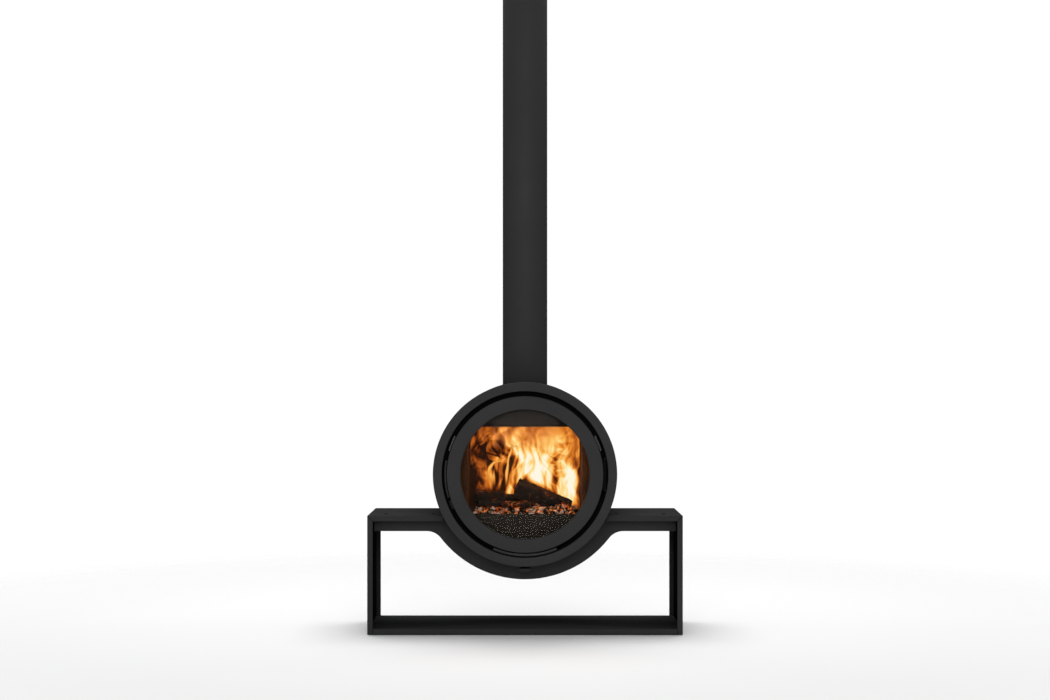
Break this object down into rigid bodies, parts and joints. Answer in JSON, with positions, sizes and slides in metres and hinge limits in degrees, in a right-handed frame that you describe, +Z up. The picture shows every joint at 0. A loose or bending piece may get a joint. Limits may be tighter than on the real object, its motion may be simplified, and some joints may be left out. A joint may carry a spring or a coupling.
{
  "type": "wood burning stove",
  "caption": "Round drum wood burning stove with a glazed round door, lying in the cradle of a low sheet-steel bench with a log store, under a straight flue pipe.",
  "frame": {"origin": "on the floor, below the middle of the object's box", "axes": "+X to the right seen from the front, +Y to the back, +Z up along the flue; the door faces -Y"},
  "size_m": [1.035, 0.4, 2.3],
  "materials": {
    "drum_steel": "matt black stove paint",
    "bench_steel": "matt black powder coat",
    "black_steel": "matt heat-proof black",
    "cast_iron": "raw, sooted",
    "brown_panel": "matt brown-black",
    "firebrick": "vermiculite, browned by heat",
    "zinc_steel": "zinc-plated sheet",
    "rope": "knitted glass-fibre rope",
    "glass": "clear ceramic glass",
    "foot_pad": "moulded plastic"
  },
  "bodies": {
    "stove": {"front_ring": "drum_steel", "outer_casing": "drum_steel", "rear_panel": "drum_steel", "flue_pipe": "drum_steel", "side_panel_left": "bench_steel", "side_panel_right": "bench_steel", "top_panel_left": "bench_steel", "top_panel_right": "bench_steel", "bottom_panel": "bench_steel", "front_apron": "bench_steel", "rear_apron": "bench_steel", "cradle_saddle": "bench_steel", "firebox_shell": "black_steel", "firebox_front": "black_steel", "floor_plate": "black_steel", "ash_pan": "black_steel", "baffle_upper": "black_steel", "hinge_bracket": "black_steel", "grate": "cast_iron", "flue_spigot": "cast_iron", "air_wash_deflector": "brown_panel", "log_guard": "brown_panel", "firebrick_left": "firebrick", "firebrick_right": "firebrick", "firebrick_back_left": "firebrick", "firebrick_back_right": "firebrick", "floor_brick_left": "firebrick", "floor_brick_right": "firebrick", "floor_brick_front": "firebrick", "floor_brick_rear": "firebrick", "baffle_lower": "firebrick", "heat_shield": "zinc_steel", "air_duct": "zinc_steel", "hinge_pin": "zinc_steel", "strike_plate": "zinc_steel", "vent_strip_left": "zinc_steel", "vent_strip_right": "zinc_steel", "foot_front_left": "foot_pad", "foot_front_right": "foot_pad", "foot_rear_left": "foot_pad", "foot_rear_right": "foot_pad"},
    "door": {"door_ring": "drum_steel", "door_frame": "black_steel", "glass": "glass", "glass_gasket": "rope", "rope_seal": "rope", "hinge_leaf_upper": "black_steel", "hinge_leaf_lower": "black_steel"},
    "latch": {"latch_ring": "zinc_steel", "latch_bar": "black_steel", "door_grip": "black_steel"},
    "air_control": {"air_slide": "zinc_steel", "air_knob": "drum_steel"}
  },
  "joints": [
    {"name": "door_hinge", "type": "hinge", "parent": "stove", "child": "door", "pos_m": [0.2605, -0.195, 0.53], "axis": [0, 0, 1], "range_deg": [0, 105]},
    {"name": "latch_turn", "type": "hinge", "parent": "door", "child": "latch", "pos_m": [0, -0.176, 0.53], "axis": [0, 1, 0], "range_deg": [0, 6]},
    {"name": "air_slide", "type": "slide", "parent": "stove", "child": "air_control", "axis": [0, 1, 0], "range_m": [0, 0.033]}
  ]
}
